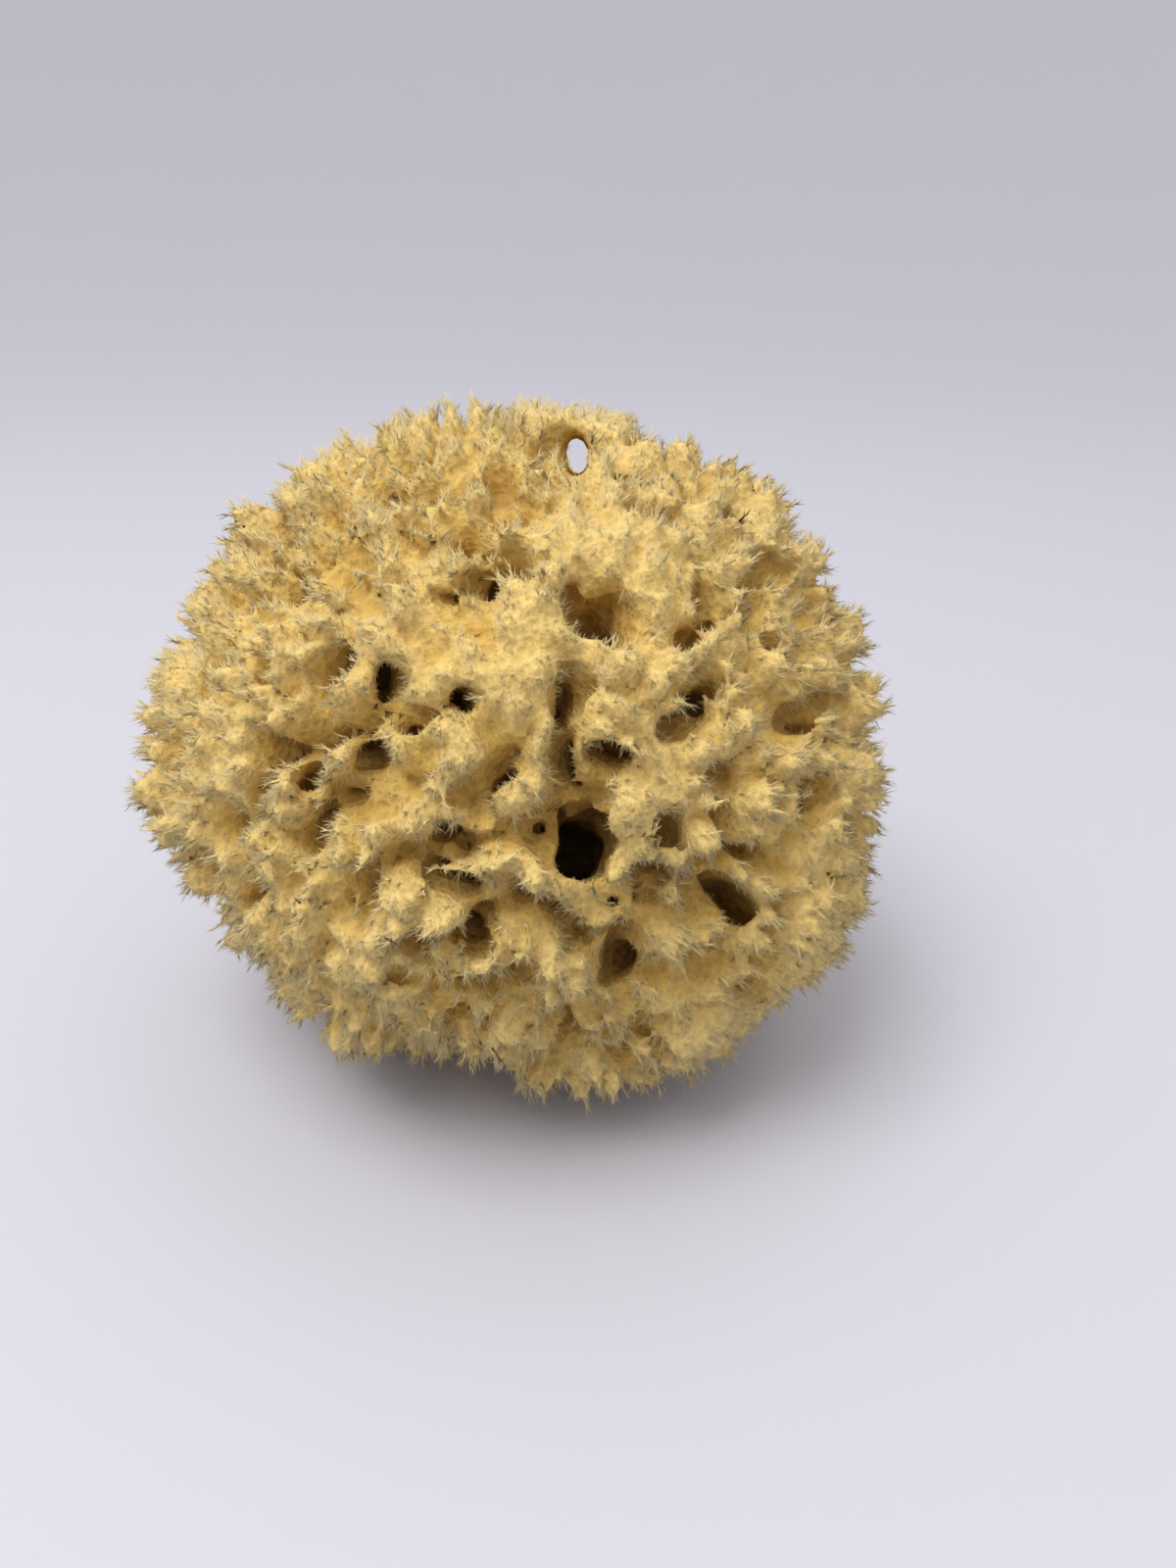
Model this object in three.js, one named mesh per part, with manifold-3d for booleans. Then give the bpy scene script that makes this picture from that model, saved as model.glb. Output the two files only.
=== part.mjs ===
// A natural bath sponge: a ball of springy fibre with ragged tongues, hollows, canals and pointed tufts.
// It is cut off flat underneath, where it grew on rock, and stands on the cut.
// Millimetres, +Z up. The front faces -Y, and the origin is on the cut, under the middle of the ball.
import * as THREE from "three";
import { mergeVertices } from "three/addons/utils/BufferGeometryUtils.js";
import Module from "manifold-3d";

// The ball, from its centre to the tips of its tufts.
const HALF_WIDTH = 73;
const HALF_DEPTH = 70.5;
const HALF_HEIGHT = 70;
const CUT_DEPTH = 62; // from the centre of the ball down to the flat cut
const CENTRE_X = 0;
const CENTRE_Y = -0.3;

// The skin of the ball, and the tongues that it is parted into.
const BALL_DETAIL = 18; // each edge of the icosahedron is split into one more than this
const CREST_DROP = 2.6; // the crests lie this far under the tips of the tufts
const TONGUE_COUNT = 270;
const STRAY = 0.35; // share of the pitch that a tongue or a hollow strays from an even spread
const TONGUE_RISE = 2; // how much one tongue's crest may differ from the mean
const GROOVE_DEPTH = 10; // the deepest groove between two tongues
const GROOVE_WIDTH = 7.5;
const GROOVE_SHARE = 2 / 3; // share of the tongues' borders that have a groove

// Pointed tufts on the crests.
const TUFT_SHARE = 0.075; // share of the crest faces that carry a tuft
const TUFT_HEIGHT = [2.8, 6.4];
const TUFT_FLOOR = 5.5; // no tuft grows where the skin lies deeper than this under the ball
const CUT_RIM = 2; // nor this close above the cut

// Hollows. The front has a list of its own, and the rest of the ball has them scattered.
const PIT_FLARE = 1; // how far a pit's edge slopes away outside its stated size
const SCATTER_COUNT = 130;
const SCATTER_SIZE = [6, 13];
const SCATTER_DEPTH = [7, 15];
const CANAL_WIDTH = 10; // a scattered hollow wider than this is a canal, and a narrower one is a pit
const CLEAR_OF_FRONT = 0.2; // radians kept free round each hollow of the front
const LOWEST_SCATTER = -38; // height against the centre of the ball

// A canal's space is a tapered tube. It starts outside the ball and ends blunt inside it.
const CANAL_SIDES = 8;
const CANAL_START = 9; // how far outside the skin the tube starts
const CANAL_FLARE = 1.15; // shares of the stated size: at the start, at the waist and at the end
const CANAL_WAIST = 0.85;
const CANAL_END = 0.4;
const WAIST_DEPTH = 0.25; // share of the canal's depth

const SPONGE_COLOUR = 0xb69455;
const SPONGE_ROUGHNESS = 0.95;

// First numbers of the runs of repeatable chance.
const CHANCE = {
  tongues: 100,
  rise: 1300,
  hollows: 5000,
  width: 7000,
  height: 7500,
  depth: 8000,
  turn: 8500,
  tufts: 20000,
  tuftHeight: 50000,
};

// Broad swells and dents of the ball: bearing, lift and spread in degrees, height in millimetres.
// A bearing is counted from the front towards +X, and a lift from the level of the centre upwards.
const SWELLS = [
  [60, -18, 26, 8.5],
  [28, -43, 13, 6],
  [-70, 4, 17, 3.5],
  [-52, -25, 11, -3],
  [-36, -38, 9, 2.5],
  [-13, -48, 10, -5],
  [84, 24, 12, 3.5],
  [96, 44, 13, 4],
  [-128, -12, 30, 4],
  [158, 8, 24, 3],
  [-160, 30, 20, -2.5],
  [176, -34, 16, 3],
  [118, -30, 14, -3],
];

// Where nothing is hollowed out: over the window, and in the middle of the cut. Bearing, lift and spread.
const SOLID_SPOTS = [
  [120, 76, 12],
  [0, -90, 14],
];

// Hollows of the front: bearing, lift, width, height, turn in degrees and depth.
// The turn leans the height of the mouth from straight up towards the right.
const FRONT_CANALS = [
  [0, 47, 5, 6, 0, 15],
  [19, 43, 9, 10, -20, 11],
  [-16, 33, 5, 7, -10, 16],
  [-3, 31, 4.5, 5, 0, 13],
  [-16, 21, 6, 6.5, 0, 14],
  [2, 21, 6, 4, -30, 13],
  [-6, 13, 5, 6, 0, 14],
  [-6, 6, 10, 6, 8, 14],
  [13, 11, 9, 14, -20, 24],
  [22, 5, 6, 4, 0, 12],
  [25, 12, 5, 7, -25, 14],
  [10, 24, 4, 9, 10, 12],
  [18, 22, 6, 8, 0, 10],
  [29, 25, 8, 5, 0, 14],
  [35, 36, 5, 4, 20, 11],
  [49, 20, 5, 7, -20, 12],
  [59, 21, 5, 4, 0, 10],
  [34, 0, 5, 13, -48, 14],
  [16, -9, 8, 6, -30, 13],
  [-1, -4, 6, 5, 0, 11],
  [-27, 20, 6, 6, 0, 11],
];
const FRONT_PITS = [
  [-13, 28, 10, 8, 0, 8],
  [-16, 16, 7, 5, -10, 8],
  [-25, 24, 9, 8, 0, 7],
  [-34, 51, 14, 11, 20, 7],
  [24, 38, 8, 7, 0, 7],
  [37, 29, 9, 6, 0, 6],
  [15, 33, 8, 7, 0, 7],
  [-8, 45, 6, 6, 0, 5],
  [-16, 52, 6, 6, 0, 5],
  [-6, 56, 6, 6, 30, 7],
  [-42, 43, 9, 6, 0, 6],
  [-49, 24, 12, 6, 20, 6],
  [-39, 31, 7, 6, 0, 6],
  [-36, 14, 6, 8, 0, 5],
  [-30, 2, 6, 6, 0, 5],
  [-20, 2, 10, 6, 20, 5],
  [-22, -23, 14, 6, 0, 4],
  [-12, -11, 14, 6, 0, 6],
  [16, 2, 6, 6, 0, 5],
  [-3, 17, 6, 9, -25, 8],
  [55, 35, 7, 6, 0, 5],
  [60, -10, 10, 6, 0, 6],
  [42, -22, 6, 11, -20, 6],
  [12, -22, 12, 8, 0, 6],
  [5, -10, 6, 10, 0, 7],
];

// The window is the one canal that runs clean through, under the crests of the top, from the front to the
// back. Its middle is measured from the centre of the ball, and it slopes down towards the back, in degrees.
const WINDOW = { middle: [13, 11.5, 56], slope: 11.5, width: 4.4, height: 7, length: 110 };

const UP = new THREE.Vector3(0, 0, 1);
const GOLDEN_ANGLE = Math.PI * (3 - Math.sqrt(5));

// A repeatable number from 0 to 1 for each index.
function chance(index) {
  const wave = Math.sin(index * 12.9898 + 78.233) * 43758.5453;
  return wave - Math.floor(wave);
}

function between([low, high], share) {
  return low + (high - low) * share;
}

// The unit vector at a bearing and lift in degrees.
function towards(bearing, lift) {
  const b = THREE.MathUtils.degToRad(bearing);
  const l = THREE.MathUtils.degToRad(lift);
  return new THREE.Vector3(Math.sin(b) * Math.cos(l), -Math.cos(b) * Math.cos(l), Math.sin(l));
}

// The angle from a direction to a listed spot, as a share of that spot's spread.
function shareOfSpread(way, bearing, lift, spread) {
  return way.angleTo(towards(bearing, lift)) / THREE.MathUtils.degToRad(spread);
}

// Evenly spread directions on a golden spiral, each strayed by a share of the pitch.
function spiralDirections(count, first) {
  const pitch = Math.sqrt((4 * Math.PI) / count);
  return Array.from({ length: count }, (_, i) => {
    const z = 1 - (2 * i + 1) / count;
    const ring = Math.sqrt(1 - z * z);
    const turn = i * GOLDEN_ANGLE;
    const [x, y, up] = [0, 1, 2].map((k) => (chance(first + 3 * i + k) * 2 - 1) * STRAY * pitch);
    return new THREE.Vector3(ring * Math.cos(turn) + x, ring * Math.sin(turn) + y, z + up).normalize();
  });
}

// Distance from the centre to the tips of the tufts in a direction: an ellipsoid with swells.
function ballRadius(way) {
  const stretch = Math.hypot(way.x / HALF_WIDTH, way.y / HALF_DEPTH, way.z / HALF_HEIGHT);
  return SWELLS.reduce((radius, [bearing, lift, spread, height]) => {
    return radius + height * Math.exp(-(shareOfSpread(way, bearing, lift, spread) ** 2));
  }, 1 / stretch);
}

// A hollow: where its mouth is, which way its width and height run, and how big it is.
function hollow(way, width, height, turn, depth) {
  const level = new THREE.Vector3().crossVectors(UP, way).normalize();
  const rise = new THREE.Vector3().crossVectors(way, level);
  const angle = -THREE.MathUtils.degToRad(turn);
  return {
    way,
    across: level.applyAxisAngle(way, angle),
    along: rise.applyAxisAngle(way, angle),
    halfWidth: width / 2,
    halfHeight: height / 2,
    depth,
  };
}

function listedHollow([bearing, lift, ...sizes]) {
  return hollow(towards(bearing, lift), ...sizes);
}

// How deep a pit is at a direction: full in its middle and nothing at its rim.
function pitDepth({ way, across, along, halfWidth, halfHeight, depth }, at, radius) {
  if (at.dot(way) <= 0) return 0;
  const x = (at.dot(across) * radius) / (halfWidth + PIT_FLARE);
  const y = (at.dot(along) * radius) / (halfHeight + PIT_FLARE);
  return depth * Math.max(0, 1 - (x * x + y * y) / 2);
}

// Hollows for the sides, the back and the top, clear of those that the front lists.
function scatteredHollows(front) {
  return spiralDirections(SCATTER_COUNT, CHANCE.hollows)
    .filter((way) => way.z * HALF_HEIGHT > LOWEST_SCATTER)
    .filter((way) => front.every((row) => row.way.angleTo(way) > CLEAR_OF_FRONT))
    .map((way, i) => {
      const width = between(SCATTER_SIZE, chance(CHANCE.width + i));
      const height = between(SCATTER_SIZE, chance(CHANCE.height + i));
      const turn = 180 * chance(CHANCE.turn + i);
      return hollow(way, width, height, turn, between(SCATTER_DEPTH, chance(CHANCE.depth + i)));
    });
}

const frontCanals = FRONT_CANALS.map(listedHollow);
const frontPits = FRONT_PITS.map(listedHollow);
const scattered = scatteredHollows([...frontCanals, ...frontPits]);
const isCanal = (row) => Math.min(row.halfWidth, row.halfHeight) * 2 > CANAL_WIDTH;
const canals = [...frontCanals, ...scattered.filter(isCanal)];
const pits = [...frontPits, ...scattered.filter((row) => !isCanal(row))];
const tongues = spiralDirections(TONGUE_COUNT, CHANCE.tongues);

// The two tongues nearest to a direction, with their distances along the ball.
function nearestTongues(way, radius) {
  let first = { index: -1, gap: Infinity };
  let second = first;
  tongues.forEach((tongue, index) => {
    const gap = way.distanceTo(tongue) * radius;
    if (gap < first.gap) {
      second = first;
      first = { index, gap };
    } else if (gap < second.gap) {
      second = { index, gap };
    }
  });
  return [first, second];
}

// Distance from the centre to the skin between tufts. Each tongue has its own height, and a groove of its
// own depth follows each border between two tongues. A pit goes down from the crests as a groove does.
function skinRadius(way) {
  const radius = ballRadius(way);
  const [first, second] = nearestTongues(way, radius);
  const pair = Math.min(first.index, second.index) * TONGUE_COUNT + Math.max(first.index, second.index);
  const strength = Math.max(0, 1 - (1 - chance(pair)) / GROOVE_SHARE);
  const border = Math.exp(-(((second.gap - first.gap) / GROOVE_WIDTH) ** 2));
  const groove = GROOVE_DEPTH * strength * border;
  const rise = TONGUE_RISE * (chance(CHANCE.rise + first.index) * 2 - 1) * (1 - border);
  const pit = Math.max(...pits.map((row) => pitDepth(row, way, radius)));
  const open = SOLID_SPOTS.reduce((least, [bearing, lift, spread]) => {
    return Math.min(least, 1 - Math.exp(-(shareOfSpread(way, bearing, lift, spread) ** 4)));
  }, 1);
  return radius - CREST_DROP + (rise - Math.max(groove, pit)) * open;
}

// The point at a distance along a direction, stopped by the flat cut.
function pointAt(way, radius) {
  const reachOfCut = way.z < 0 ? CUT_DEPTH / -way.z : Infinity;
  if (radius < reachOfCut) return way.clone().multiplyScalar(radius);
  return way.clone().multiplyScalar(reachOfCut).setZ(-CUT_DEPTH);
}

// A shape's triangles as positions alone, so that its shared corners can be merged.
function positionsOnly(geometry) {
  return new THREE.BufferGeometry().setAttribute("position", geometry.getAttribute("position"));
}

// The skin as a list of triangles. A crest face that carries a tuft is raised to a point.
function skinTriangles() {
  const ball = mergeVertices(positionsOnly(new THREE.IcosahedronGeometry(1, BALL_DETAIL)));
  const seats = ball.getAttribute("position");
  const ways = Array.from({ length: seats.count }, (_, i) =>
    new THREE.Vector3().fromBufferAttribute(seats, i).normalize(),
  );
  const points = ways.map((way) => pointAt(way, skinRadius(way)));
  const faces = Array.from({ length: ball.index.count / 3 }, (_, face) =>
    [0, 1, 2].map((k) => ball.index.getX(3 * face + k)),
  );
  return faces.flatMap((corners, face) => {
    const [a, b, c] = corners.map((k) => points[k]);
    const middle = new THREE.Vector3().add(a).add(b).add(c).divideScalar(3);
    const way = middle.clone().normalize();
    const tips = ballRadius(way);
    const onCrest = tips - middle.length() < TUFT_FLOOR && Math.min(a.z, b.z, c.z) > CUT_RIM - CUT_DEPTH;
    if (!onCrest || chance(CHANCE.tufts + face) > TUFT_SHARE) return [[a, b, c]];
    const height = between(TUFT_HEIGHT, chance(CHANCE.tuftHeight + face));
    const tip = pointAt(way, Math.min(middle.length() + height, tips));
    return [
      [a, b, tip],
      [b, c, tip],
      [c, a, tip],
    ];
  });
}

// A ring of points on an ellipse.
function ellipseRing(centre, across, along, halfWidth, halfHeight) {
  return Array.from({ length: CANAL_SIDES }, (_, k) => {
    const turn = (2 * Math.PI * k) / CANAL_SIDES;
    return centre
      .clone()
      .addScaledVector(across, halfWidth * Math.cos(turn))
      .addScaledVector(along, halfHeight * Math.sin(turn));
  });
}

// A closed tube through rings that turn the right-handed way round the run of the tube, with flat fans as
// its ends.
function tubeTriangles(rings) {
  const middleOf = (ring) =>
    ring.reduce((sum, point) => sum.add(point), new THREE.Vector3()).divideScalar(CANAL_SIDES);
  const start = rings[0];
  const end = rings.at(-1);
  const startMiddle = middleOf(start);
  const endMiddle = middleOf(end);
  return start.flatMap((_, k) => {
    const next = (k + 1) % CANAL_SIDES;
    const wall = rings.slice(1).flatMap((ring, i) => [
      [rings[i][k], rings[i][next], ring[next]],
      [rings[i][k], ring[next], ring[k]],
    ]);
    return [...wall, [startMiddle, start[next], start[k]], [endMiddle, end[k], end[next]]];
  });
}

// The space of a canal, from its end to its start outside the skin.
function canalTriangles({ way, across, along, halfWidth, halfHeight, depth }) {
  const skin = ballRadius(way) - CREST_DROP;
  const stations = [
    [skin - depth, CANAL_END],
    [skin - depth * WAIST_DEPTH, CANAL_WAIST],
    [skin + CANAL_START, CANAL_FLARE],
  ];
  return tubeTriangles(
    stations.map(([reach, share]) => {
      const centre = way.clone().multiplyScalar(reach);
      return ellipseRing(centre, across, along, halfWidth * share, halfHeight * share);
    }),
  );
}

// The space of the window: a straight oval tube.
function windowTriangles({ middle, slope, width, height, length }) {
  const across = new THREE.Vector3(1, 0, 0);
  const fall = THREE.MathUtils.degToRad(slope);
  const run = new THREE.Vector3(0, Math.cos(fall), -Math.sin(fall));
  const rise = new THREE.Vector3().crossVectors(across, run);
  return tubeTriangles(
    [-length / 2, length / 2].map((shift) => {
      const centre = new THREE.Vector3(...middle).addScaledVector(run, shift);
      return ellipseRing(centre, rise, across, height / 2, width / 2);
    }),
  );
}

const wasm = await Module();
wasm.setup();

function solidOf(triangles) {
  const merged = mergeVertices(new THREE.BufferGeometry().setFromPoints(triangles.flat()));
  const vertProperties = merged.getAttribute("position").array;
  const triVerts = new Uint32Array(merged.index.array);
  return new wasm.Manifold(new wasm.Mesh({ numProp: 3, vertProperties, triVerts }));
}

function geometryOf(solid) {
  const { vertProperties, triVerts } = solid.getMesh();
  const geometry = new THREE.BufferGeometry();
  geometry.setAttribute("position", new THREE.BufferAttribute(vertProperties, 3));
  geometry.setIndex(new THREE.BufferAttribute(triVerts, 1));
  geometry.computeVertexNormals();
  return geometry;
}

// The sponge is the skin less the space of every canal and of the window. A tuft that a canal cuts loose
// falls away, so the sponge is the large body that is left.
const spaces = [...canals.map(canalTriangles), windowTriangles(WINDOW)];
const hollowed = spaces.reduce((body, space) => body.subtract(solidOf(space)), solidOf(skinTriangles()));
const skeleton = hollowed
  .decompose()
  .reduce((large, body) => (body.volume() > large.volume() ? body : large));

const sponge = new THREE.Mesh(
  geometryOf(skeleton),
  new THREE.MeshStandardMaterial({ color: SPONGE_COLOUR, roughness: SPONGE_ROUGHNESS, metalness: 0 }),
);
sponge.name = "sponge";
sponge.position.set(CENTRE_X, CENTRE_Y, CUT_DEPTH);

const part = new THREE.Group();
part.add(sponge);

export default part;
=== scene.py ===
import bpy
import numpy as np
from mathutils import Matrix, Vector


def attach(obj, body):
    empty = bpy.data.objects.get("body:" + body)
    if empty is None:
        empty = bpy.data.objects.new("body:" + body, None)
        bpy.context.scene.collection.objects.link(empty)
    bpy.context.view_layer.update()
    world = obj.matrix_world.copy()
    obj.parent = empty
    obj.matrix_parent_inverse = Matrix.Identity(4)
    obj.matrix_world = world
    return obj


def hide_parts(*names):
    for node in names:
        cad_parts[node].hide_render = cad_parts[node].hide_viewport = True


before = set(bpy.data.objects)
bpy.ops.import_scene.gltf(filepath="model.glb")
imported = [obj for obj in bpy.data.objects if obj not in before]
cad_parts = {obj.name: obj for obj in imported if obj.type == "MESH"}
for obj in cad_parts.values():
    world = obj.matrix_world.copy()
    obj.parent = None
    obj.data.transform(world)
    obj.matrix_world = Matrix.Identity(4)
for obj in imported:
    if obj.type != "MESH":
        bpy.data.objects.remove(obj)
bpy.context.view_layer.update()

# The table it stands on
# A plain pale floor that curves up a long way off into a low backdrop, so that nothing but soft light falls
# on the sponge.
MM = 0.001
FLOOR_RADIUS = 0.9
BOWL_RADIUS = 4.0
BOWL_HEIGHT = 3.0
FLOOR_COLOUR = (0.565, 0.575, 0.655)
FLOOR_DROP = 0.0002
FLOOR_TURNS = 96
FLAT_RINGS = 8
RISING_RINGS = 40


class Wire:
    """A shader socket that takes part in sums: the operators add Math nodes for numbers."""

    def __init__(self, tree, socket):
        self.tree = tree
        self.socket = socket

    def node(self, kind, settings=None, **sockets):
        """Adds a node, with its settings first and then its sockets, and returns the new node. A socket is
        given by its name, or by i and its number."""
        made = self.tree.nodes.new(kind)
        for name, value in (settings or {}).items():
            if name == "stops":
                ramp = made.color_ramp
                while len(ramp.elements) < len(value):
                    ramp.elements.new(0.5)
                for element, (place, colour) in zip(ramp.elements, value):
                    element.position = place
                    element.color = (*colour, 1)
            else:
                setattr(made, name, value)
        for name, value in sockets.items():
            key = int(name[1:]) if name[1:].isdigit() else name
            if isinstance(value, Wire):
                self.tree.links.new(value.socket, made.inputs[key])
            else:
                made.inputs[key].default_value = value
        return made

    def out(self, made, name=0):
        return Wire(self.tree, made.outputs[name])

    def maths(self, operation, other):
        """One Math node on this socket and another socket or number."""
        return self.out(self.node("ShaderNodeMath", {"operation": operation}, i0=self, i1=other))

    def __add__(self, other):
        return self.maths("ADD", other)

    __radd__ = __add__

    def __sub__(self, other):
        return self.maths("SUBTRACT", other)

    def __rsub__(self, other):
        return (self * -1) + other

    def __mul__(self, other):
        return self.maths("MULTIPLY", other)

    __rmul__ = __mul__

    def ramp(self, *stops):
        """A colour for each value, between the stops given as (place, colour)."""
        return self.out(self.node("ShaderNodeValToRGB", {"stops": stops}, Fac=self), "Color")

    def mix(self, first, second):
        """A mix of two colours by this socket."""
        return self.out(self.node("ShaderNodeMix", {"data_type": "RGBA"}, i0=self, i6=first, i7=second), 2)

    def shaded(self, number):
        """This colour multiplied by a grey number."""
        grey = self.out(self.node("ShaderNodeCombineColor", None, Red=number, Green=number, Blue=number))
        settings = {"data_type": "RGBA", "blend_type": "MULTIPLY"}
        return self.out(self.node("ShaderNodeMix", settings, i0=1.0, i6=self, i7=grey), 2)


def new_material(name):
    """A material with one Principled shader, and that shader with a wire to begin sums from."""
    material = bpy.data.materials.new(name)
    material.use_nodes = True
    tree = material.node_tree
    return material, tree.nodes["Principled BSDF"], Wire(tree, None)


def mesh_piece(name, points, faces, material):
    """A smooth object of points in metres and faces of equal size, with one material."""
    mesh = bpy.data.meshes.new(name)
    count, corners = faces.shape
    mesh.vertices.add(len(points))
    mesh.vertices.foreach_set("co", np.ascontiguousarray(points, np.float32).ravel())
    mesh.loops.add(count * corners)
    mesh.loops.foreach_set("vertex_index", faces.astype(np.int32).ravel())
    mesh.polygons.add(count)
    mesh.polygons.foreach_set("loop_start", np.arange(0, count * corners, corners, dtype=np.int32))
    mesh.update(calc_edges=True)
    mesh.polygons.foreach_set("use_smooth", np.full(count, True))
    mesh.materials.append(material)
    piece = bpy.data.objects.new(name, mesh)
    bpy.context.scene.collection.objects.link(piece)
    return piece


def floor_bowl():
    """A surface turned about Z: flat to the floor's radius, then a quarter of an ellipse up to the bowl's
    rim. Returns the points, the squares, and the triangles round the middle."""
    flat = np.linspace(0, FLOOR_RADIUS, FLAT_RINGS)[1:]
    rise = np.linspace(0, np.pi / 2, RISING_RINGS)[1:]
    reach = np.concatenate([flat, FLOOR_RADIUS + (BOWL_RADIUS - FLOOR_RADIUS) * np.sin(rise)])
    height = np.concatenate([0 * flat, BOWL_HEIGHT * (1 - np.cos(rise))]) - FLOOR_DROP
    turn = np.linspace(0, 2 * np.pi, FLOOR_TURNS, endpoint=False)
    across, along = np.outer(reach, np.cos(turn)), np.outer(reach, np.sin(turn))
    rings = np.stack([across, along, np.outer(height, np.ones(FLOOR_TURNS))], -1)
    points = np.vstack([rings.reshape(-1, 3), [0, 0, -FLOOR_DROP]])
    near = np.arange(len(reach) - 1)[:, None] * FLOOR_TURNS
    far = near + FLOOR_TURNS
    here = np.arange(FLOOR_TURNS)
    after = (here + 1) % FLOOR_TURNS
    squares = np.stack([near + here, far + here, far + after, near + after], -1).reshape(-1, 4)
    middle_fan = np.stack([np.full(FLOOR_TURNS, len(points) - 1), here, after], -1)
    return points, squares, middle_fan


plaster, plaster_shader, _ = new_material("pale_floor")
plaster_shader.inputs["Base Color"].default_value = (*FLOOR_COLOUR, 1)
plaster_shader.inputs["Roughness"].default_value = 0.55
bowl_points, bowl_squares, bowl_fan = floor_bowl()
floor_mesh = bpy.data.meshes.new("floor")
floor_mesh.from_pydata(bowl_points.tolist(), [], bowl_squares.tolist() + bowl_fan.tolist())
floor_mesh.polygons.foreach_set("use_smooth", np.full(len(floor_mesh.polygons), True))
floor_mesh.materials.append(plaster)
floor = bpy.data.objects.new("floor", floor_mesh)
bpy.context.scene.collection.objects.link(floor)

# The camera and the light
# The photo looks down on the front at a slope, from arm's length, with the sponge left of the middle and
# above it. Its light is soft daylight from the upper left and front, with a pale room all round.
PHOTO_WIDTH, PHOTO_HEIGHT = 1200, 1600
SENSOR = 36.0
LENS = 27.05
SLOPE = np.radians(27.0)
BALL_PIXEL = (525, 760)
BALL_DISTANCE = 243 * MM
BALL_CENTRE = np.array([0.0, -0.3, 62.0]) * MM
NEAREST_SEEN = 0.01
LIGHT_SIZE = 0.8
WINDOW_PLACE = (-0.40, -0.42, 1.33)
WINDOW_POWER = 12.8
WINDOW_COLOUR = (1.0, 0.985, 0.95)
ROOM_PLACE = (-0.9, -0.6, 0.5)
ROOM_POWER = 0.2
ROOM_COLOUR = (0.98, 0.98, 1.0)
ALL_ROUND_COLOUR = (1.0, 0.965, 0.925)
ALL_ROUND_STRENGTH = 1.03

pixels_per_unit = LENS / SENSOR * PHOTO_HEIGHT
looking = np.array([0, np.cos(SLOPE), -np.sin(SLOPE)])
upwards = np.array([0, np.sin(SLOPE), np.cos(SLOPE)])
rightwards = np.array([1.0, 0, 0])
sight = (
    looking
    + (BALL_PIXEL[0] - PHOTO_WIDTH / 2) / pixels_per_unit * rightwards
    + (PHOTO_HEIGHT / 2 - BALL_PIXEL[1]) / pixels_per_unit * upwards
)
eye = BALL_CENTRE - BALL_DISTANCE * sight / np.linalg.norm(sight)
camera_data = bpy.data.cameras.new("camera")
camera_data.lens = LENS
camera_data.sensor_width = SENSOR
camera_data.clip_start = NEAREST_SEEN
camera = bpy.data.objects.new("camera", camera_data)
camera.location = eye
camera.rotation_euler = (np.pi / 2 - SLOPE, 0, 0)
bpy.context.scene.collection.objects.link(camera)
bpy.context.scene.camera = camera


def soft_light(name, place, power, colour):
    """A square area light at a place, facing the middle of the sponge."""
    data = bpy.data.lights.new(name, "AREA")
    data.size = LIGHT_SIZE
    data.energy = power
    data.color = colour
    light = bpy.data.objects.new(name, data)
    light.location = place
    light.rotation_euler = (Vector(BALL_CENTRE) - Vector(place)).to_track_quat("-Z", "Y").to_euler()
    bpy.context.scene.collection.objects.link(light)


soft_light("window_light", WINDOW_PLACE, WINDOW_POWER, WINDOW_COLOUR)
soft_light("room_light", ROOM_PLACE, ROOM_POWER, ROOM_COLOUR)
world = bpy.data.worlds.new("room")
world.use_nodes = True
all_round = world.node_tree.nodes["Background"]
all_round.inputs["Color"].default_value = (*ALL_ROUND_COLOUR, 1)
all_round.inputs["Strength"].default_value = ALL_ROUND_STRENGTH
bpy.context.scene.world = world
bpy.context.scene.view_settings.view_transform = "Standard"

# The sponge's skeleton
# One ball of springy fibre, cut off flat, with tongues between its grooves, and canals and pits that run in
# from the skin. Its sizes are the solid's, in millimetres. Pairs are a size and a strength, or a least and a
# most, and spots are a bearing, a lift and a spread.
HALF_AXES = np.array([73, 70.5, 70])
CUT_DEPTH = 62
CREST_DROP = 3.7
TONGUE_COUNT = 270
STRAY = 0.35
TONGUE_RISE = 1.6
GROOVE_DEPTH = 13.5
GROOVE_WIDTH = 5.6
GROOVE_SHARE = 2 / 3
WAVER = (9, 2.6)
FINE_WAVER = (3.6, 0.9)
LUMPS = (9, 1.2)
LUMPS_WITH_DEPTH = 0.25
RAGGED = (2.6, 0.9)
RAGGED_WITH_DEPTH = 0.3
RAGGED_ON_SOLID = 0.5
SCATTER_COUNT = 130
SCATTER_SIZE = (6, 13)
SCATTER_DEPTH = (7, 15)
CLEAR_OF_FRONT = 0.2
LOWEST_SCATTER = -38
FROND_SPACING = 5.9
FROND_WIDTH = 1.7
FROND_RISE = 1.4
FROND_GROOVE = 6.0
FROND_MEAN = 0.23
FROND_WAVER = 0.6
FROND_REGIONS = (24, 0.5)
FROND_USUAL = 0.85
FROND_LIMITS = (0.4, 1.2)
EVEN_SPOT = (2, 22, 34)
EVEN_SPOT_SHARE = 0.42
EVEN_BAND = (-5, 38, 14)
EVEN_BAND_SHARE = 0.65
VOXEL = 1.2
GRID_SIDES = ((-80, 84), (-78, 80), (-CUT_DEPTH - 3 * VOXEL, 78))
SHELL = (38, 86)
SHELL_MIDDLE = 60
MEAN_RADIUS = 70
CHANCE = {
    "tongues": 100, "rise": 1300, "hollows": 5000, "width": 7000, "height": 7500, "depth": 8000,
    "turn": 8500, "bend": 9000, "eye": 9500, "eye place": 9600, "eye bend": 9700,
}
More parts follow.
